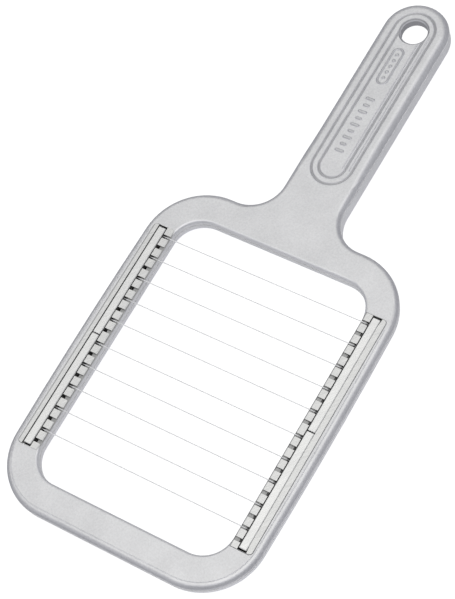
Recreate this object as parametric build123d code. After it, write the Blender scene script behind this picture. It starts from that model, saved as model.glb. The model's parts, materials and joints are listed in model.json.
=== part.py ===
from build123d import *
import math
import os

os.makedirs("parts", exist_ok=True)

# Hand slicer for eggs: a cast aluminium frame with a flat handle, and ten wires across the
# frame's window. Each wire's ends are bent down behind a row of cast teeth, and four bars
# pressed into the frame's two channels clamp them there.
# Millimetres. X runs across the frame, Y along the handle (+Y at its rounded end), Z up.
# The origin is under the middle of the outline, level with the handle's underside.

# ---- outline of the casting ----------------------------------------------------------
LENGTH = 258.2
FRAME_LENGTH = 147.3
FRAME_LOW = -LENGTH / 2
FRAME_HIGH = FRAME_LOW + FRAME_LENGTH
FRAME_Y = (FRAME_LOW + FRAME_HIGH) / 2
HALF_WIDTH = 56.6          # at the middle of the long sides, which bow outwards
HALF_WIDTH_END = 55.3      # where the long sides would meet the short ones
CORNER_R = 25.4
NECK_R = 14.0
HANDLE_END_R = 13.9
HANDLE_TAPER = 0.1         # degrees, each side, narrowing towards the neck
HOLE_Y = LENGTH / 2 - HANDLE_END_R

# ---- window and thicknesses ----------------------------------------------------------
WINDOW_WIDTH = 86.8
WINDOW_LENGTH = 121.4
WINDOW_CORNER_R = 12.6
WINDOW_Y = FRAME_Y + 0.1
TOP = 9.8                  # the upper face, which frame and handle share
FRAME_UNDER = 3.6          # the frame is this much thinner than the handle, from below
RAMP_LOW, RAMP_HIGH = 9.0, 27.0
TOP_FILLET = 2.0
CROWN_FILLET = 2.8         # the handle's upper edges are rounder than the frame's
CROWN_LOW, CROWN_HIGH = 33.0, 64.0     # it is full above the second and has faded out at the first,
CROWN_CLEAR = 1.3                      # where its cutter stands this far outside the handle's side
UNDER_FILLET = 1.7
WINDOW_FILLET = 1.1
SEAM_Z = 6.8               # the mould's parting line, a fine ridge round every wall
SEAM_HEIGHT = 0.3
SEAM_PROUD = 0.15
RIM_LINE_INSET, RIM_LINE_WIDTH, RIM_LINE_DEPTH = 2.25, 0.4, 0.12

# ---- ground pads, channels and teeth on the two long sides ----------------------------
PAD_HEIGHT = 0.3
PAD_TOP = TOP + PAD_HEIGHT
PAD_INNER, PAD_OUTER = 43.8, 53.2
PAD_OVERHANG = 0.25        # past each end of the channel
PAD_CORNER_R = 1.6
PAD_BEVEL = 0.25
WIRE_D = 0.4
CHANNEL_INNER = 46.95      # the teeth's backs
BAR_WIDTH = 3.2
CHANNEL_OUTER = CHANNEL_INNER + WIRE_D + BAR_WIDTH
CHANNEL_LENGTH = 103.4
CHANNEL_FLOOR = 5.3
RELIEF_DEPTH = 1.3         # the channel's outer wall is set back this far down
RELIEF_WIDE, RELIEF_NARROW = 0.45, 0.12
RELIEF_TAPER = 3.2
NOTCH_WIDTH = 1.6
NOTCH_PITCH = 5.0
NOTCH_MIDDLE_PITCH = 6.07  # across the wider tooth at the bars' joint
NOTCH_Y = FRAME_Y - 0.3
NOTCHES_PER_HALF = 10
NOTCH_SHELF = 1.1          # the notch's floor drops this far before the teeth's backs
NOTCH_FRONT_DEPTH, NOTCH_SHELF_DEPTH, NOTCH_BACK_DEPTH = 0.6, 1.0, 4.2

# ---- clamp bars and wires ------------------------------------------------------------
BAR_TOP = PAD_TOP + 0.2
BAR_END_GAP = 0.75
BAR_JOINT_GAP = 0.4
BAR_CORNER_R = 0.3
BAR_EDGE_CHAMFER = 0.25
WIRE_Z = PAD_TOP - 0.35
WIRE_BEND_R = 0.6
WIRE_TIP_Z = CHANNEL_FLOOR + 0.2

# ---- handle details ------------------------------------------------------------------
HOLE_R = 5.5
HOLE_CHAMFER = 0.9
TRACK_LOW_Y = 47.6         # centre of the grooves' lower arcs
OUTER_TRACK_R, INNER_TRACK_R = 8.65, 5.65
GROOVE_WIDTH, GROOVE_DEPTH = 1.3, 0.38
GROOVE_FLOOR = 0.15        # the floor's share of a groove's width
FINE_TRACKS, FINE_WIDTH, FINE_DEPTH = (4.3, 7.25), 0.6, 0.14
POCKET_R, POCKET_LOW_Y, POCKET_DEPTH = 10.4, 50.0, 5.3
POCKET_DRAFT = 4.0
POCKET_FLOOR_FILLET = 0.8
MARK_X, MARK_HEIGHT, MARK_SLOPE = -0.9, 0.35, 55.0
PILL_Y, PILL_LENGTH, PILL_WIDTH, PILL_LINE = 96.8, 18.6, 5.4, 1.15
DASH_COUNT, DASH_FIRST_Y, DASH_PITCH = 9, 54.5, 3.2
DASH_LENGTHS, DASH_WIDTH = (4.2, 3.0), 1.5
DOT_COUNT, DOT_PITCH, DOT_R = 5, 2.9, 0.9


def box_between(low, high):
    """A box from its lowest corner to its highest."""
    size = [b - a for a, b in zip(low, high)]
    middle = [(a + b) / 2 for a, b in zip(low, high)]
    return Pos(*middle) * Box(*size)


def side_point(y, out=0.0):
    """The point at this y on the handle's right side, or this far outside it."""
    taper = math.radians(HANDLE_TAPER)
    end_x = HANDLE_END_R * math.cos(taper)
    end_y = HOLE_Y - HANDLE_END_R * math.sin(taper)
    return end_x - (end_y - y) * math.tan(taper) + out, y


def across(point):
    """The same point on the left side."""
    return -point[0], point[1]


def handle_end():
    """The point where the handle's right side meets its round end."""
    return side_point(HOLE_Y - HANDLE_END_R * math.sin(math.radians(HANDLE_TAPER)))


def outline():
    """The casting's outline from above: a bowed plate, a tapered handle and round necks."""
    plate = make_face(Curve() + [
        Line((-HALF_WIDTH_END, FRAME_LOW), (HALF_WIDTH_END, FRAME_LOW)),
        ThreePointArc((HALF_WIDTH_END, FRAME_LOW), (HALF_WIDTH, FRAME_Y), (HALF_WIDTH_END, FRAME_HIGH)),
        Line((HALF_WIDTH_END, FRAME_HIGH), (-HALF_WIDTH_END, FRAME_HIGH)),
        ThreePointArc((-HALF_WIDTH_END, FRAME_HIGH), (-HALF_WIDTH, FRAME_Y), (-HALF_WIDTH_END, FRAME_LOW)),
    ])
    plate = fillet(plate.vertices(), CORNER_R)
    foot, end = side_point(FRAME_Y), handle_end()
    handle = make_face(Curve() + [
        Line(across(foot), foot),
        Line(foot, end),
        ThreePointArc(end, (0, HOLE_Y + HANDLE_END_R), across(end)),
        Line(across(end), across(foot)),
    ])
    shape = plate + handle
    necks = [v for v in shape.vertices() if abs(v.Y - FRAME_HIGH) < 0.01 and abs(v.X) < HANDLE_END_R + 1]
    return fillet(necks, NECK_R)


def window():
    return Pos(0, WINDOW_Y) * RectangleRounded(WINDOW_WIDTH, WINDOW_LENGTH, WINDOW_CORNER_R)


def stadium(low_y, high_y, radius):
    """A slot shape along Y whose end arcs are centred at low_y and high_y."""
    return Pos(0, (low_y + high_y) / 2) * Rot(0, 0, 90) * SlotCenterToCenter(high_y - low_y, 2 * radius)


def track_band(radius, width):
    """A band of this width that follows the handle's racetrack at this radius."""
    outer = stadium(TRACK_LOW_Y, HOLE_Y, radius + width / 2)
    return outer - stadium(TRACK_LOW_Y, HOLE_Y, radius - width / 2)


def blank():
    """The casting's body: one upper face, and a frame that is thinner than the handle."""
    middle_y = (RAMP_LOW + RAMP_HIGH) / 2
    below = make_face(Curve() + [
        Line((FRAME_LOW - 1, -1), (FRAME_LOW - 1, FRAME_UNDER)),
        Line((FRAME_LOW - 1, FRAME_UNDER), (RAMP_LOW, FRAME_UNDER)),
        TangentArc((RAMP_LOW, FRAME_UNDER), (middle_y, FRAME_UNDER / 2), tangent=(1, 0)),
        TangentArc((RAMP_HIGH, 0), (middle_y, FRAME_UNDER / 2), tangent=(-1, 0)),
        Line((RAMP_HIGH, 0), (RAMP_HIGH, -1)),
        Line((RAMP_HIGH, -1), (FRAME_LOW - 1, -1)),
    ])
    body = extrude(outline(), TOP) - extrude(Plane.YZ * below, LENGTH / 2, both=True)
    body = fillet(body.edges().group_by(Axis.Z)[-1], TOP_FILLET)
    under = [f for f in body.faces() if f.normal_at().Z < -0.9]
    rim = [e for e in ShapeList(under).edges() if sum(e in f.edges() for f in under) == 1]
    body = fillet(rim, UNDER_FILLET) - crown_cutter()
    body -= extrude(window(), TOP)
    rims = [e for e in body.edges() if on_window(e) and is_level(e, (TOP, FRAME_UNDER))]
    return fillet(rims, WINDOW_FILLET)


def crown_cutter():
    """What rounds the handle's upper edges more than the frame's. It widens to clear the neck."""
    foot, full, end = side_point(CROWN_LOW, CROWN_CLEAR), side_point(CROWN_HIGH), handle_end()
    flare = side_point((CROWN_LOW + CROWN_HIGH) / 2, CROWN_CLEAR / 4)
    face = make_face(Curve() + [
        Line(across(foot), foot),
        ThreePointArc(foot, flare, full),
        Line(full, end),
        ThreePointArc(end, (0, HOLE_Y + HANDLE_END_R), across(end)),
        Line(across(end), across(full)),
        ThreePointArc(across(full), across(flare), across(foot)),
    ])
    crown = extrude(face, TOP)
    rim = [e for e in crown.edges().group_by(Axis.Z)[-1] if e.bounding_box().size.Y > 0.1]
    low, high = (-HALF_WIDTH, CROWN_LOW, TOP - CROWN_FILLET), (HALF_WIDTH, LENGTH, TOP + 1)
    return box_between(low, high) - fillet(rim, CROWN_FILLET)


def on_window(edge):
    """True for an edge that lies within the window's own rectangle."""
    middle = edge.center(CenterOf.BOUNDING_BOX)
    return abs(middle.X) < WINDOW_WIDTH / 2 + 0.1 and abs(middle.Y - WINDOW_Y) < WINDOW_LENGTH / 2 + 0.1


def is_level(edge, heights):
    """True for an edge that lies wholly at one of these heights."""
    box = edge.bounding_box()
    return any(abs(box.min.Z - z) < 0.01 and abs(box.max.Z - z) < 0.01 for z in heights)


def seam():
    """The fine ridge that the mould's parting line leaves on the outer and inner walls."""
    outer = offset(outline(), SEAM_PROUD) - offset(outline(), -1)
    inner = offset(window(), 1) - offset(window(), -SEAM_PROUD)
    return Pos(0, 0, SEAM_Z) * extrude(outer + inner, SEAM_HEIGHT)


def rim_line():
    """A fine line round the frame's upper face, just inside its rounded edge."""
    outer, inner = -RIM_LINE_INSET + RIM_LINE_WIDTH / 2, -RIM_LINE_INSET - RIM_LINE_WIDTH / 2
    band = offset(outline(), outer) - offset(outline(), inner)
    frame_part = Pos(0, FRAME_Y - CORNER_R) * Rectangle(LENGTH, FRAME_LENGTH)
    slope = math.degrees(math.atan2(RIM_LINE_WIDTH / 3, RIM_LINE_DEPTH))
    return extrude(Pos(0, 0, TOP) * (band & frame_part), -RIM_LINE_DEPTH, taper=slope)


def pad(side):
    """The ground strip that carries the teeth and the channel's lips."""
    centre_x = side * (PAD_INNER + PAD_OUTER) / 2
    face = Rectangle(PAD_OUTER - PAD_INNER, CHANNEL_LENGTH + 2 * PAD_OVERHANG)
    corners = face.vertices().group_by(Axis.X)[-1 if side > 0 else 0]
    face = fillet(corners, PAD_CORNER_R)
    strip = Pos(centre_x, FRAME_Y, TOP - 1) * extrude(face, 1 + PAD_HEIGHT)
    return chamfer(strip.edges().group_by(Axis.Z)[-1], PAD_BEVEL)


def relief(side):
    """The set-back of the channel's outer lip: even on the left, nearly closed on the right."""
    wide = CHANNEL_OUTER + RELIEF_WIDE
    narrow = wide if side < 0 else CHANNEL_OUTER + RELIEF_NARROW
    end = CHANNEL_LENGTH / 2
    shoulder = end - RELIEF_TAPER
    points = [(CHANNEL_INNER, -end), (wide, -end), (narrow, -shoulder), (narrow, shoulder), (wide, end),
              (CHANNEL_INNER, end)]
    if side < 0:
        points = [points[0], points[1], points[4], points[5]]
    face = make_face(Polyline(*[(side * x, y) for x, y in points], close=True))
    return Pos(0, FRAME_Y, PAD_TOP - RELIEF_DEPTH) * extrude(face, RELIEF_DEPTH + 1)


def channel(side):
    """The slot that a pair of bars is pressed into, with the relief above."""
    x0, x1 = sorted((side * CHANNEL_INNER, side * CHANNEL_OUTER))
    half = CHANNEL_LENGTH / 2
    return box_between((x0, FRAME_Y - half, CHANNEL_FLOOR), (x1, FRAME_Y + half, PAD_TOP + 1)) + relief(side)


def notch_positions():
    """Y of every notch, from the handle's end down: two even rows about a wider tooth."""
    rows = [NOTCH_Y + NOTCH_MIDDLE_PITCH / 2 + i * NOTCH_PITCH for i in reversed(range(NOTCHES_PER_HALF))]
    return rows + [2 * NOTCH_Y - y for y in reversed(rows)]


def notch(side, y):
    """One gap between teeth: a shallow shelf that carries the wire, then a drop to the channel."""
    front, back = WINDOW_WIDTH / 2 - 1, CHANNEL_INNER + 0.2
    points = [
        (front, PAD_TOP + 1),
        (front, PAD_TOP - NOTCH_FRONT_DEPTH),
        (CHANNEL_INNER - NOTCH_SHELF, PAD_TOP - NOTCH_SHELF_DEPTH),
        (back, PAD_TOP - NOTCH_BACK_DEPTH),
        (back, PAD_TOP + 1),
    ]
    face = Plane.XZ * make_face(Polyline(*[(side * x, z) for x, z in points], close=True))
    return Pos(0, y, 0) * extrude(face, NOTCH_WIDTH / 2, both=True)


def hanging_hole():
    """The bore near the handle's end, with a wide chamfer above and a small one below."""
    bore = Pos(0, HOLE_Y, TOP / 2) * Cylinder(HOLE_R, TOP + 2)
    upper = Pos(0, HOLE_Y, TOP - HOLE_CHAMFER / 2) * Cone(HOLE_R, HOLE_R + HOLE_CHAMFER, HOLE_CHAMFER)
    small = HOLE_CHAMFER / 2
    lower = Pos(0, HOLE_Y, POCKET_DEPTH + small / 2) * Cone(HOLE_R + small, HOLE_R, small)
    return bore + upper + lower


def groove(radius, width=GROOVE_WIDTH, depth=GROOVE_DEPTH):
    """A shallow groove with sloping sides along the racetrack."""
    slope = math.degrees(math.atan2(width * (1 - GROOVE_FLOOR) / 2, depth))
    return extrude(Pos(0, 0, TOP) * track_band(radius, width), -depth, taper=slope)


def fine_groove(radius):
    """A finer groove beside the others, along the right side only."""
    right = box_between((0, TRACK_LOW_Y, 0), (HANDLE_END_R, HOLE_Y, TOP + 1))
    return groove(radius, FINE_WIDTH, FINE_DEPTH) & right


def pocket():
    """The hollow in the handle's back, drafted so that the casting leaves its mould."""
    mouth = stadium(POCKET_LOW_Y, HOLE_Y, POCKET_R)
    hollow = extrude(mouth, POCKET_DEPTH, taper=POCKET_DRAFT)
    return fillet(hollow.edges().group_by(Axis.Z)[-1], POCKET_FLOOR_FILLET)


def marks():
    """Plain raised shapes on the handle: a row of dashes, and a pill outline holding dots."""
    shapes = Pos(MARK_X, PILL_Y) * Rot(0, 0, 90) * (
        SlotOverall(PILL_LENGTH, PILL_WIDTH)
        - SlotOverall(PILL_LENGTH - 2 * PILL_LINE, PILL_WIDTH - 2 * PILL_LINE)
    )
    for index in range(DOT_COUNT):
        shapes += Pos(MARK_X, PILL_Y + DOT_PITCH * (index - (DOT_COUNT - 1) / 2)) * Circle(DOT_R)
    for index in range(DASH_COUNT):
        length = DASH_LENGTHS[index % 2]
        shapes += Pos(MARK_X, DASH_FIRST_Y + index * DASH_PITCH) * SlotOverall(length, DASH_WIDTH)
    return extrude(Pos(0, 0, TOP) * shapes, MARK_HEIGHT, taper=MARK_SLOPE)


def cast_frame():
    body = blank() + seam()
    body += [pad(side) for side in (-1, 1)]
    body -= [channel(side) for side in (-1, 1)]
    body -= [notch(side, y) for side in (-1, 1) for y in notch_positions()]
    body -= [groove(OUTER_TRACK_R), groove(INNER_TRACK_R), rim_line()]
    body -= [fine_groove(radius) for radius in FINE_TRACKS]
    body += marks()
    body -= pocket()
    return body - hanging_hole()


def clamp_bar(side, half):
    """One of the two bars in a channel. half is 1 towards the handle and -1 away from it."""
    inner = CHANNEL_INNER + WIRE_D
    joint = FRAME_Y + half * BAR_JOINT_GAP / 2
    end = FRAME_Y + half * (CHANNEL_LENGTH / 2 - BAR_END_GAP)
    y0, y1 = sorted((joint, end))
    x0, x1 = sorted((side * inner, side * (inner + BAR_WIDTH)))
    bar = box_between((x0, y0, CHANNEL_FLOOR), (x1, y1, BAR_TOP))
    bar = fillet(bar.edges().filter_by(Axis.Z), BAR_CORNER_R)
    return chamfer(bar.edges().group_by(Axis.Z)[-1], BAR_EDGE_CHAMFER)


def cutting_wire(y):
    """One wire: a straight span, and a leg bent down behind the teeth at each end."""
    leg_x = CHANNEL_INNER + WIRE_D / 2
    route = FilletPolyline(
        (-leg_x, y, WIRE_TIP_Z), (-leg_x, y, WIRE_Z), (leg_x, y, WIRE_Z), (leg_x, y, WIRE_TIP_Z),
        radius=WIRE_BEND_R,
    )
    start = Plane(origin=route @ 0, z_dir=route % 0)
    return sweep(start * Circle(WIRE_D / 2), path=route)


def build():
    """Every node of the object by name."""
    nodes = {"cast_frame": cast_frame()}
    for side, side_name in ((-1, "left"), (1, "right")):
        for half, half_name in ((1, "upper"), (-1, "lower")):
            nodes[f"clamp_bar_{side_name}_{half_name}"] = clamp_bar(side, half)
    for number, y in enumerate(notch_positions()[::2], start=1):
        nodes[f"cutting_wire_{number:02d}"] = cutting_wire(y)
    return nodes


for name, shape in build().items():
    export_step(shape, f"parts/{name}.step")
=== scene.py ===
import json
import math

import bpy
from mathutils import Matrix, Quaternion, Vector


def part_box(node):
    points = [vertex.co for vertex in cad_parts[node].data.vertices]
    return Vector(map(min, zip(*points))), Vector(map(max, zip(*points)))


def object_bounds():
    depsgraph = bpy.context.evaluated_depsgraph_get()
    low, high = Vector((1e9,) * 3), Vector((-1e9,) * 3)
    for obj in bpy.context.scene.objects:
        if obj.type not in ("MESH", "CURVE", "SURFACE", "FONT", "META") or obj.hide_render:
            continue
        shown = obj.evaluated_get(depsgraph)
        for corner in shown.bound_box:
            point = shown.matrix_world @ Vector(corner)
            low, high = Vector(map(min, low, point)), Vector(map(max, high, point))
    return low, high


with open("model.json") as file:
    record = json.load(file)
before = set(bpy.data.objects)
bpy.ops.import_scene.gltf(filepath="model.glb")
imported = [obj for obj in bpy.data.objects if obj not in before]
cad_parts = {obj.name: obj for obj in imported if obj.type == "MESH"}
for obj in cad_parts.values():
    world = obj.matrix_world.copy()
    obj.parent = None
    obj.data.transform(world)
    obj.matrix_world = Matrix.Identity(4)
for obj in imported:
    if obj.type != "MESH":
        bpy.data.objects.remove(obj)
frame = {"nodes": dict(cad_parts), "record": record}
cad_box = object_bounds()

MM = 0.001

# Sizes that the boxes of the CAD nodes don't give by themselves.
BAR_ABOVE_PAD = 0.2 * MM        # the clamp bars stand proud of the ground strips
PAD_ABOVE_FACE = 0.3 * MM       # and the strips stand proud of the frame's face
WIRE_PAST_TOOTH = 3.5 * MM      # from a strip's inner edge, the teeth's front, out to the wires' ends
HOLE_FROM_END = 14.05 * MM      # from the handle's round end to the hanging hole's centre
# The painted shade in the recesses ends this far past the bars.
RECESS_PAST_BAR = 0.8 * MM      # the dark recesses end this far past the bars

# Places that the looks depend on, all worked out from the frame.
bar_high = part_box("clamp_bar_right_upper")[1]
bar_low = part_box("clamp_bar_right_lower")[0]
wire_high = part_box("cutting_wire_01")[1]
pad_top = bar_high.z - BAR_ABOVE_PAD
face_top = pad_top - PAD_ABOVE_FACE
tooth_front = wire_high.x - WIRE_PAST_TOOTH
hole_y = cad_box[1].y - HOLE_FROM_END
rail_middle = (bar_high.y + bar_low.y) / 2
rail_half = (bar_high.y - bar_low.y) / 2 + RECESS_PAST_BAR

# A Mix node's sockets go by number, because their names repeat.
COLOUR_A, COLOUR_B, COLOUR_OUT = 6, 7, 2
VALUE_A, VALUE_B, VALUE_OUT = 2, 3, 0


# ---- camera --------------------------------------------------------------------------
SENSOR_WIDTH, FOCAL_LENGTH = 36, 125.1      # in mm, as Blender takes them
CLIP_START, CLIP_END = 0.05, 20
AZIMUTH, ELEVATION, ROLL = math.radians(54.3), math.radians(59.92), math.radians(-26.66)
DISTANCE = 802.7                            # in mm, from the point aimed at
AIM_X, AIM_Y = -8.5 * MM, -21.1 * MM        # from the object's centre to the point aimed at


def make_camera():
    """A long lens that looks down on the slicer from the lower right, rolled to the left."""
    data = bpy.data.cameras.new("camera")
    data.sensor_width = SENSOR_WIDTH
    data.lens = FOCAL_LENGTH
    data.clip_start, data.clip_end = CLIP_START, CLIP_END
    camera = bpy.data.objects.new("camera", data)
    bpy.context.scene.collection.objects.link(camera)
    level = math.cos(ELEVATION)
    back = Vector((math.sin(AZIMUTH) * level, -math.cos(AZIMUTH) * level, math.sin(ELEVATION)))
    centre = (cad_box[0] + cad_box[1]) / 2
    aim = Vector((centre.x + AIM_X, centre.y + AIM_Y, face_top))
    camera.location = aim + back * DISTANCE * MM
    camera.rotation_mode = "QUATERNION"
    camera.rotation_quaternion = (-back).to_track_quat("-Z", "Y") @ Quaternion((0, 0, 1), ROLL)
    bpy.context.scene.camera = camera


# ---- light and floor -----------------------------------------------------------------
SURROUND = (0.32, 0.324, 0.342)    # at the horizon
OVERHEAD = (1.36, 1.36, 1.36)      # straight above, as from a large soft light
BELOW = (1.30, 1.30, 1.40)         # straight below, which reflections show in place of the floor
ABOVE_SPAN = (0.69, 0.91)          # sines of the elevation where the upper glow begins and is full
BELOW_SPAN = (-0.71, -1.0)         # and the same for the lower one
FRONT_LIGHT = {"place": (-0.45, -1.00, 0.34), "size": 0.45, "power": 0.3}
SIDE_LIGHT = {"place": (1.00, 0.30, 0.20), "size": 0.60, "power": 0.25}
FLOOR_SIZE = 40.0                  # so large that its edge stays out of sight in a low view
FLOOR_GAP = 0.05 * MM
FLOOR_TONE, FLOOR_ROUGHNESS = (0.25, 0.25, 0.25, 1), 0.9
FLOOR_GLOW, FLOOR_GLOW_STRENGTH = (1, 1, 1, 1), 0.93


def make_area_light(name, place, size, power):
    """A square area light that stands at a place and faces the frame's origin."""
    data = bpy.data.lights.new(name, "AREA")
    data.size = size
    data.energy = power
    light = bpy.data.objects.new(name, data)
    bpy.context.scene.collection.objects.link(light)
    light.location = place
    light.rotation_mode = "QUATERNION"
    light.rotation_quaternion = (-Vector(place)).to_track_quat("-Z", "Y")


def make_studio():
    """A grey surround that glows above and below, and two small lights near the horizon."""
    world = bpy.data.worlds.new("studio")
    bpy.context.scene.world = world
    world.use_nodes = True
    tree = world.node_tree
    direction = tree.nodes.new("ShaderNodeTexCoord")
    split = tree.nodes.new("ShaderNodeSeparateXYZ")
    tree.links.new(direction.outputs["Generated"], split.inputs["Vector"])
    colour = None
    for (begin, full), glow in ((ABOVE_SPAN, OVERHEAD), (BELOW_SPAN, BELOW)):
        height = tree.nodes.new("ShaderNodeMapRange")
        height.inputs["From Min"].default_value = begin
        height.inputs["From Max"].default_value = full
        tree.links.new(split.outputs["Z"], height.inputs["Value"])
        shade = tree.nodes.new("ShaderNodeMix")
        shade.data_type = "RGBA"
        shade.inputs[COLOUR_A].default_value = (*SURROUND, 1)
        shade.inputs[COLOUR_B].default_value = (*glow, 1)
        tree.links.new(height.outputs["Result"], shade.inputs["Factor"])
        if colour is not None:
            tree.links.new(colour, shade.inputs[COLOUR_A])
        colour = shade.outputs[COLOUR_OUT]
    tree.links.new(colour, tree.nodes["Background"].inputs["Color"])
    make_area_light("front_light", **FRONT_LIGHT)
    make_area_light("side_light", **SIDE_LIGHT)
    bpy.context.scene.view_settings.view_transform = "Standard"
    bpy.context.scene.view_settings.look = "None"


def make_floor():
    """A plain white floor just under the object, which glows so that hardly any shadow shows."""
    mesh = bpy.data.meshes.new("floor")
    half = FLOOR_SIZE / 2
    corners = [(-half, -half, 0), (half, -half, 0), (half, half, 0), (-half, half, 0)]
    mesh.from_pydata(corners, [], [(0, 1, 2, 3)])
    floor = bpy.data.objects.new("floor", mesh)
    floor.location.z = -FLOOR_GAP
    floor.visible_glossy = False
    bpy.context.scene.collection.objects.link(floor)
    material = bpy.data.materials.new("floor_light_table")
    material.use_nodes = True
    shader = material.node_tree.nodes["Principled BSDF"]
    shader.inputs["Base Color"].default_value = FLOOR_TONE
    shader.inputs["Roughness"].default_value = FLOOR_ROUGHNESS
    shader.inputs["Emission Color"].default_value = FLOOR_GLOW
    shader.inputs["Emission Strength"].default_value = FLOOR_GLOW_STRENGTH
    mesh.materials.append(material)


# ---- material nodes ------------------------------------------------------------------
# Steepness is judged by the normal's |Z|: 1 on a level face, 0 on an upright wall.
LEVEL_ENDS = (0.98, 0.88)          # a rounded edge fades in as the face tips over
UPRIGHT_ENDS = (0.02, 0.12)        # and out again as it becomes a wall
WALL_BEGINS = (0.3, 0.2)


class Nodes:
    """A small helper that adds and joins the nodes of one material. Its lengths are in mm."""

    def __init__(self, name):
        self.material = bpy.data.materials.new(name)
        self.material.use_nodes = True
        self.tree = self.material.node_tree
        self.shader = self.tree.nodes["Principled BSDF"]
        coordinates = self.tree.nodes.new("ShaderNodeTexCoord")
        to_mm = self.tree.nodes.new("ShaderNodeMapping")
        to_mm.inputs["Scale"].default_value = (1 / MM, 1 / MM, 1 / MM)
        self.tree.links.new(coordinates.outputs["Object"], to_mm.inputs["Vector"])
        self.place = to_mm.outputs["Vector"]

    def link(self, value, socket):
        """Joins an output to a socket, or sets a constant on it."""
        if isinstance(value, bpy.types.NodeSocket):
            self.tree.links.new(value, socket)
        else:
            socket.default_value = value

    def math(self, operation, a, b=0.0, clamp=False):
        node = self.tree.nodes.new("ShaderNodeMath")
        node.operation = operation
        node.use_clamp = clamp
        self.link(a, node.inputs[0])
        self.link(b, node.inputs[1])
        return node.outputs[0]

    def below(self, value, limit):
        return self.math("LESS_THAN", value, limit)

    def above(self, value, limit):
        return self.math("GREATER_THAN", value, limit)

    def weighted(self, first, share, second):
        """A share of the first value, and the rest of the second."""
        return self.math("ADD", self.math("MULTIPLY", first, share),
                         self.math("MULTIPLY", second, 1 - share))

    def both(self, *masks):
        """The product of several masks."""
        product = masks[0]
        for mask in masks[1:]:
            product = self.math("MULTIPLY", product, mask, clamp=True)
        return product

    def noise(self, scale, detail, roughness, vector=None):
        node = self.tree.nodes.new("ShaderNodeTexNoise")
        node.inputs["Scale"].default_value = scale
        node.inputs["Detail"].default_value = detail
        node.inputs["Roughness"].default_value = roughness
        self.tree.links.new(vector or self.place, node.inputs["Vector"])
        return node.outputs["Fac"]

    def stretched(self, turn, size):
        """Coordinates that turn a pattern about Z by degrees and stretch it to a size in X, Y and Z."""
        node = self.tree.nodes.new("ShaderNodeMapping")
        node.vector_type = "TEXTURE"
        node.inputs["Rotation"].default_value = (0, 0, math.radians(turn))
        node.inputs["Scale"].default_value = size
        self.tree.links.new(self.place, node.inputs["Vector"])
        return node.outputs["Vector"]

    def ramp(self, value, low, high, out_low=0.0, out_high=1.0):
        node = self.tree.nodes.new("ShaderNodeMapRange")
        node.inputs["From Min"].default_value = low
        node.inputs["From Max"].default_value = high
        self.link(out_low, node.inputs["To Min"])
        self.link(out_high, node.inputs["To Max"])
        self.link(value, node.inputs["Value"])
        return node.outputs["Result"]

    def mix(self, factor, a, b):
        """A colour from a, where the factor is 0, to b."""
        node = self.tree.nodes.new("ShaderNodeMix")
        node.data_type = "RGBA"
        self.link(factor, node.inputs["Factor"])
        self.link(a, node.inputs[COLOUR_A])
        self.link(b, node.inputs[COLOUR_B])
        return node.outputs[COLOUR_OUT]

    def mix_value(self, factor, a, b):
        """A number from a, where the factor is 0, to b."""
        node = self.tree.nodes.new("ShaderNodeMix")
        self.link(factor, node.inputs["Factor"])
        self.link(a, node.inputs[VALUE_A])
        self.link(b, node.inputs[VALUE_B])
        return node.outputs[VALUE_OUT]

    def bump(self, height, distance, strength):
        node = self.tree.nodes.new("ShaderNodeBump")
        node.inputs["Strength"].default_value = strength
        node.inputs["Distance"].default_value = distance
        self.link(height, node.inputs["Height"])
        return node.outputs["Normal"]

    def position(self):
        node = self.tree.nodes.new("ShaderNodeSeparateXYZ")
        self.tree.links.new(self.place, node.inputs["Vector"])
        return node.outputs["X"], node.outputs["Y"], node.outputs["Z"]

    def slope_masks(self):
        """1 on rounded edges, between level and upright, and 1 on upright walls."""
        coordinates = self.tree.nodes.new("ShaderNodeTexCoord")
        split = self.tree.nodes.new("ShaderNodeSeparateXYZ")
        self.tree.links.new(coordinates.outputs["Normal"], split.inputs["Vector"])
        level = self.math("ABSOLUTE", split.outputs["Z"])
        rounded = self.both(self.ramp(level, *LEVEL_ENDS), self.ramp(level, *UPRIGHT_ENDS))
        return rounded, self.ramp(level, *WALL_BEGINS)

    def shine(self, colour, metallic, roughness, normal):
        """Sets the shader's inputs."""
        inputs = self.shader.inputs
        for name, value in (("Base Color", colour), ("Metallic", metallic), ("Roughness", roughness),
                            ("Normal", normal)):
            self.link(value, inputs[name])


# ---- tones and finishes --------------------------------------------------------------
CAST_DARK, CAST_LIGHT = (0.72, 0.72, 0.723, 1), (0.88, 0.88, 0.88, 1)
# Painted reflection: a bluish tint on the rounded edges, standing in for the bluish glow below.
EDGE_REFLECTION_TINT_DARK, EDGE_REFLECTION_TINT_LIGHT = (0.72, 0.72, 0.745, 1), (0.87, 0.87, 0.895, 1)
# Painted highlight on the window's rounded rim.
RIM_HIGHLIGHT_TONE = (0.94, 0.94, 0.96, 1)
# Painted shade in the handle's grooves; the raised marks get a smaller share of the same darker tone.
GROOVE_SHADE_AND_MARK_DARK, GROOVE_SHADE_AND_MARK_LIGHT = (0.50, 0.50, 0.505, 1), (0.62, 0.62, 0.625, 1)
# Painted shade on the strips' bevels and along two of their edges.
SHADED_EDGE_TONE = (0.42, 0.42, 0.42, 1)
# Painted highlight on bevels: the left strip's bevels that face the side light, and the clamp bars' bevels.
BEVEL_HIGHLIGHT_TONE = (0.88, 0.88, 0.87, 1)
# Painted shade in the notches and channels, darker with depth.
SHELF_SHADE_TONE, DEEP_SHADE_TONE = (0.50, 0.50, 0.49, 1), (0.09, 0.09, 0.09, 1)
# Painted shade on the recesses' walls and along the right strip's inner edge.
WALL_SHADE_TONE = (0.22, 0.22, 0.22, 1)
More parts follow.
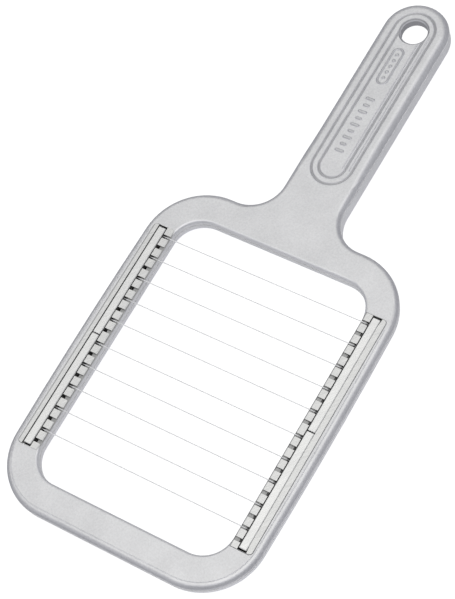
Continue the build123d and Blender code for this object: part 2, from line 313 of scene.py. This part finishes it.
# Painted shade on the hanging hole's wall.
HOLE_SHADE_TONE = (0.42, 0.42, 0.43, 1)
STRIP_DARK, STRIP_LIGHT = (0.60, 0.60, 0.59, 1), (0.84, 0.84, 0.82, 1)
BAR_DARK, BAR_LIGHT = (0.66, 0.66, 0.65, 1), (0.84, 0.84, 0.82, 1)
WIRE_DARK, WIRE_LIGHT = (0.93, 0.93, 0.94, 1), (0.98, 0.98, 0.98, 1)
# Painted shade on the wires' ends in the notches.
WIRE_END_SHADE = (0.30, 0.30, 0.30, 1)
METALLIC, MATT_METALLIC, WIRE_METALLIC = 0.85, 0.25, 0.3

# Noises: scale per mm, detail, roughness.
GRAIN, PITS, CAST_CLOUD = (1.3, 3.0, 0.7), (3.5, 2.0, 0.6), (0.09, 3.0, 0.55)
BAR_CLOUD = (0.08, 2.0, 0.5)
GRIND_NOISE, STREAK_NOISE = (1.0, 1.0, 0.5), (1.0, 2.0, 0.5)

# The first noise's share where two are added.
GRIND_SHARE, GRAIN_SHARE, BLAST_SHARE, BAR_LINE_SHARE = 0.55, 0.7, 0.6, 0.85

# Line patterns: their turn in degrees, and the lines' size in X, Y and Z.
FIRST_GRIND, SECOND_GRIND = (-36, (0.07, 9.0, 1.0)), (-46, (0.12, 12.0, 1.0))
WIRE_STREAKS = (0, (12.0, 0.08, 0.08))

# The span of a noise over which a tone or a roughness goes from its first value to its last.
SHADE_SPAN, GRAIN_SPAN = (0.34, 0.66), (0.3, 0.7)
GRIND_SPAN, LINE_SPAN = (0.38, 0.62), (0.35, 0.65)
CAST_ROUGHNESS, STRIP_ROUGHNESS = (0.44, 0.54), (0.30, 0.40)
BAR_ROUGHNESS, WIRE_ROUGHNESS = (0.20, 0.30), (0.22, 0.34)

# Bumps: height in metres and strength.
CAST_BUMP, BAR_BUMP, WIRE_BUMP = (0.10 * MM, 0.5), (0.04 * MM, 0.5), (0.01 * MM, 0.3)
STRIP_RELIEF = 0.35                # of the casting's own


def grinding(nodes):
    """Two crossing sets of fine grinding lines, as one value about 0.5."""
    first = nodes.noise(*GRIND_NOISE, nodes.stretched(*FIRST_GRIND))
    second = nodes.noise(*GRIND_NOISE, nodes.stretched(*SECOND_GRIND))
    return nodes.weighted(first, GRIND_SHARE, second)


# ---- cast aluminium ------------------------------------------------------------------
# Places on the casting, in mm. A depth is taken downwards from the ground strips' tops, so a minus in
# a span past the face is above the face.
FACE_DEPTH = PAD_ABOVE_FACE / MM
BAR_OUTSIDE = bar_high.x / MM
STRIP_INSIDE = tooth_front / MM
PAD_BEYOND = (wire_high.x - 6 * MM) / MM          # nothing nearer the middle is a strip
PAD_RISE = (-0.02, -0.06)                         # past the face, where the strips begin
# The window's painted highlight lies within the next two reaches.
WINDOW_REACH_X, WINDOW_REACH_Y = 45.0, 62.5       # the bright rounding at the window lies within these
HANDLE_BEYOND = 35.0
TRACK_REACH = 9.9                                 # the handle's grooves lie within this
# The grooves' darkening is painted shade; the raised marks are darkened less.
GROOVE_SINK, GROOVE_FLOOR = (0.08, 0.34), 0.45    # past the face
MARK_RISE, MARK_SHARE = (-0.04, -0.14), 0.35      # past the face; a mark is less dull than a groove
HOLE_REACH, HOLE_BEHIND, HOLE_DEPTH = 6.5, 8, 4.6 # either side of the hole's centre, before it, and down
SAW_BEGINS = (-0.45, -0.2)                        # past the strip's inner edge
LIP_OUTSIDE, RECESS_DEPTH = 1.5, 5.0              # the channel's lip lies within 1.5 of the bars
# Painted shade: the next two lines give the depths where it begins and where it deepens.
FLOOR_SINK, WALL_SINK = (0.42, 0.55), (0.1, 0.2)  # depths at which floors and walls turn dark
FLOOR_FADE, WALL_FADE = (0.9, 3.2), (1.0, 2.5)    # and at which they turn darker still
STRIP_EDGE = (0.25, 0.05)                         # past the strip's inner edge
# The next two spans place the painted shade lines along the strips' edges.
RIGHT_EDGE_SHADE = (0.5, 0.35)                          # past the right strip's inner edge
LEFT_EDGE_SHADE = (-1.95, -2.2)                         # past the left bars' outer side


def past(origin, span):
    """A span that starts from an origin."""
    return origin + span[0], origin + span[1]


class CastNodes(Nodes):
    """The casting's coordinates, slopes and noises, which all its looks share."""

    def __init__(self):
        super().__init__("cast_aluminium")
        self.x, self.y, z = self.position()
        self.away = self.math("ABSOLUTE", self.x)
        self.along = self.math("ABSOLUTE", self.math("SUBTRACT", self.y, rail_middle / MM))
        self.depth = self.math("SUBTRACT", pad_top / MM, z)
        self.rounded, self.upright = self.slope_masks()
        self.grain = self.noise(*GRAIN)
        tone = self.weighted(self.grain, GRAIN_SHARE, self.noise(*CAST_CLOUD))
        self.shade = self.ramp(tone, *SHADE_SPAN)

    def on_right(self):
        return self.above(self.x, 0.0)

    def on_left(self):
        return self.below(self.x, 0.0)

    def mottled(self, dark, light):
        """A tone that varies with the casting's grain."""
        return self.mix(self.shade, dark, light)


def cast_tone_and_painted_edges(cast):
    """The blasted faces, with a bluish tint painted on the rounded edges as a reflection of the bluish glow
    below, and a painted highlight on the rounding round the window.
    """
    by_window = cast.both(cast.below(cast.away, WINDOW_REACH_X), cast.below(cast.along, WINDOW_REACH_Y))
    # Painted highlight on the rounded rim round the window; the other rounded edges get the painted bluish
    # reflection tint.
    painted_rounding = cast.mix(by_window, cast.mottled(EDGE_REFLECTION_TINT_DARK, EDGE_REFLECTION_TINT_LIGHT), RIM_HIGHLIGHT_TONE)
    return cast.mix(cast.rounded, cast.mottled(CAST_DARK, CAST_LIGHT), painted_rounding)


def add_groove_shade_and_marks(cast, colour):
    """The handle's grooves are painted darker as shade, and its raised marks are painted darker too, but
    less.
    """
    past_hole = cast.math("MAXIMUM", cast.math("SUBTRACT", cast.y, hole_y / MM), 0.0)
    reach = cast.math("SQRT", cast.math("ADD", cast.math("MULTIPLY", cast.away, cast.away),
                                        cast.math("MULTIPLY", past_hole, past_hole)))
    on_handle = cast.both(cast.below(reach, TRACK_REACH), cast.above(cast.y, HANDLE_BEYOND))
    grooved = cast.both(cast.ramp(cast.depth, *past(FACE_DEPTH, GROOVE_SINK)),
                        cast.below(cast.depth, FACE_DEPTH + GROOVE_FLOOR))
    raised = cast.ramp(cast.depth, *past(FACE_DEPTH, MARK_RISE), 0.0, MARK_SHARE)
    darkened = cast.both(on_handle, cast.math("ADD", grooved, raised, clamp=True))
    return cast.mix(darkened, colour, cast.mottled(GROOVE_SHADE_AND_MARK_DARK, GROOVE_SHADE_AND_MARK_LIGHT))


def add_hole_shade(cast, colour):
    """The hanging hole's wall is painted darker than the face, as shade.

    The mask has no limit towards the handle's end, so it darkens a patch of the end wall as well.
    """
    in_hole = cast.both(cast.upright, cast.below(cast.away, HOLE_REACH), cast.below(cast.depth, HOLE_DEPTH),
                        cast.above(cast.y, hole_y / MM - HOLE_BEHIND))
    return cast.mix(in_hole, colour, HOLE_SHADE_TONE)


def recess_shade_mask(cast):
    """1 where shade is painted in the sawn notches and the channels: floors from a depth, walls almost from
    the top.
    """
    on_rail = cast.both(
        cast.ramp(cast.away, *past(STRIP_INSIDE, SAW_BEGINS)),
        cast.below(cast.away, BAR_OUTSIDE + LIP_OUTSIDE),
        cast.below(cast.along, rail_half / MM),
        cast.below(cast.depth, RECESS_DEPTH),
    )
    walls = cast.both(cast.upright, cast.ramp(cast.depth, *WALL_SINK))
    return cast.both(on_rail, cast.math("MAXIMUM", cast.ramp(cast.depth, *FLOOR_SINK), walls))


def recess_shade_tone(cast):
    """Painted shade: darker with depth, and dark along the right strip's inner edge."""
    floors = cast.mix(cast.ramp(cast.depth, *FLOOR_FADE), SHELF_SHADE_TONE, DEEP_SHADE_TONE)
    walls = cast.mix(cast.ramp(cast.depth, *WALL_FADE), WALL_SHADE_TONE, DEEP_SHADE_TONE)
    edge = cast.both(cast.ramp(cast.x, *past(STRIP_INSIDE, STRIP_EDGE)), cast.on_right())
    return cast.mix(edge, cast.mix(cast.upright, floors, walls), WALL_SHADE_TONE)


def edge_shade_mask(cast):
    """Painted shade: dark lines along the right strip's inner edge and along the left strip's outer one, the
    edges that face away from the side light.
    """
    right = cast.both(cast.ramp(cast.x, *past(STRIP_INSIDE, RIGHT_EDGE_SHADE)), cast.on_right())
    return cast.math("MAXIMUM", right, cast.ramp(cast.x, *past(-BAR_OUTSIDE, LEFT_EDGE_SHADE)))


def cast_aluminium():
    """Shot-blasted casting, with painted shade in its recesses, handle grooves and hole, darker raised
    marks, painted shade and highlights on the strips' bevels, and ground strips on its long sides.
    """
    cast = CastNodes()
    colour = add_hole_shade(cast, add_groove_shade_and_marks(cast, cast_tone_and_painted_edges(cast)))
    shaded_recess = recess_shade_mask(cast)
    # Painted shade in the recesses.
    colour = cast.mix(shaded_recess, colour, recess_shade_tone(cast))
    # The strips' bevels are painted dark as shade; on the left strip inside the bars' outer side, where they
    # face the side light, they get a painted highlight instead.
    on_pad = cast.both(cast.above(cast.away, PAD_BEYOND), cast.ramp(cast.depth, *past(FACE_DEPTH, PAD_RISE)))
    bevel = cast.both(on_pad, cast.rounded)
    lit_bevel = cast.both(bevel, cast.below(cast.away, BAR_OUTSIDE), cast.on_left())
    colour = cast.mix(bevel, colour, cast.mix(lit_bevel, SHADED_EDGE_TONE, BEVEL_HIGHLIGHT_TONE))
    # Their level tops are ground.
    level = cast.math("SUBTRACT", 1.0, cast.math("MAXIMUM", cast.rounded, cast.upright))
    ground = cast.both(on_pad, level)
    lines = grinding(cast)
    colour = cast.mix(ground, colour, cast.mix(cast.ramp(lines, *GRIND_SPAN), STRIP_DARK, STRIP_LIGHT))
    # Painted shade lines along two of the strips' edges.
    colour = cast.mix(cast.both(ground, edge_shade_mask(cast)), colour, SHADED_EDGE_TONE)
    # The recesses under their painted shade and the bevels under their painted highlight are also made less
    # metallic.
    metallic = cast.mix_value(cast.math("MAXIMUM", shaded_recess, lit_bevel), METALLIC, MATT_METALLIC)
    roughness = cast.mix_value(ground, cast.ramp(cast.grain, *GRAIN_SPAN, *CAST_ROUGHNESS),
                               cast.ramp(lines, *LINE_SPAN, *STRIP_ROUGHNESS))
    blast = cast.weighted(cast.grain, BLAST_SHARE, cast.noise(*PITS))
    relief = cast.mix_value(ground, blast, cast.math("MULTIPLY", lines, STRIP_RELIEF))
    cast.shine(colour, metallic, roughness, cast.bump(relief, *CAST_BUMP))
    return cast.material


# ---- bars and wires ------------------------------------------------------------------
# Painted shade: the wires darken where they run into the dark notches.
WIRE_SHADE_SPAN = (-1.8, -0.9)       # past the wires' ends: the stretch over which they darken


def ground_aluminium():
    """The clamp bars: bright, with diagonal grinding lines, and matt bevels painted lighter as a highlight.
    """
    nodes = Nodes("ground_aluminium")
    lines = grinding(nodes)
    tone = nodes.weighted(lines, BAR_LINE_SHARE, nodes.noise(*BAR_CLOUD))
    bevel = nodes.slope_masks()[0]
    # Painted highlight: the bevels are lighter than the ground faces.
    colour = nodes.mix(bevel, nodes.mix(nodes.ramp(tone, *GRIND_SPAN), BAR_DARK, BAR_LIGHT), BEVEL_HIGHLIGHT_TONE)
    nodes.shine(colour, nodes.mix_value(bevel, METALLIC, MATT_METALLIC),
                nodes.ramp(lines, *LINE_SPAN, *BAR_ROUGHNESS), nodes.bump(lines, *BAR_BUMP))
    return nodes.material


def stainless_wire():
    """Drawn wire: faint drawing lines along its length, and ends painted dark as shade where they lie in the
    notches.
    """
    nodes = Nodes("stainless_wire")
    streaks = nodes.noise(*STREAK_NOISE, nodes.stretched(*WIRE_STREAKS))
    drawn = nodes.mix(nodes.ramp(streaks, *LINE_SPAN), WIRE_DARK, WIRE_LIGHT)
    away = nodes.math("ABSOLUTE", nodes.position()[0])
    in_notch_shade = nodes.ramp(away, *past(wire_high.x / MM, WIRE_SHADE_SPAN))
    nodes.shine(nodes.mix(in_notch_shade, drawn, WIRE_END_SHADE), WIRE_METALLIC,
                nodes.ramp(streaks, *LINE_SPAN, *WIRE_ROUGHNESS), nodes.bump(streaks, *WIRE_BUMP))
    return nodes.material


# ---- the scene -----------------------------------------------------------------------
def give_material(node, material):
    """Puts one material on a CAD node's mesh."""
    slots = frame["nodes"][node].data.materials
    slots.clear()
    slots.append(material)


def finish_surfaces():
    """Every CAD node's material, by the record's slot."""
    made = {"cast_aluminium": cast_aluminium(), "ground_aluminium": ground_aluminium(),
            "stainless_wire": stainless_wire()}
    for entry in frame["record"]["subparts"]:
        give_material(entry["node"], made[entry["material_slot"]])


make_camera()
make_studio()
make_floor()
finish_surfaces()
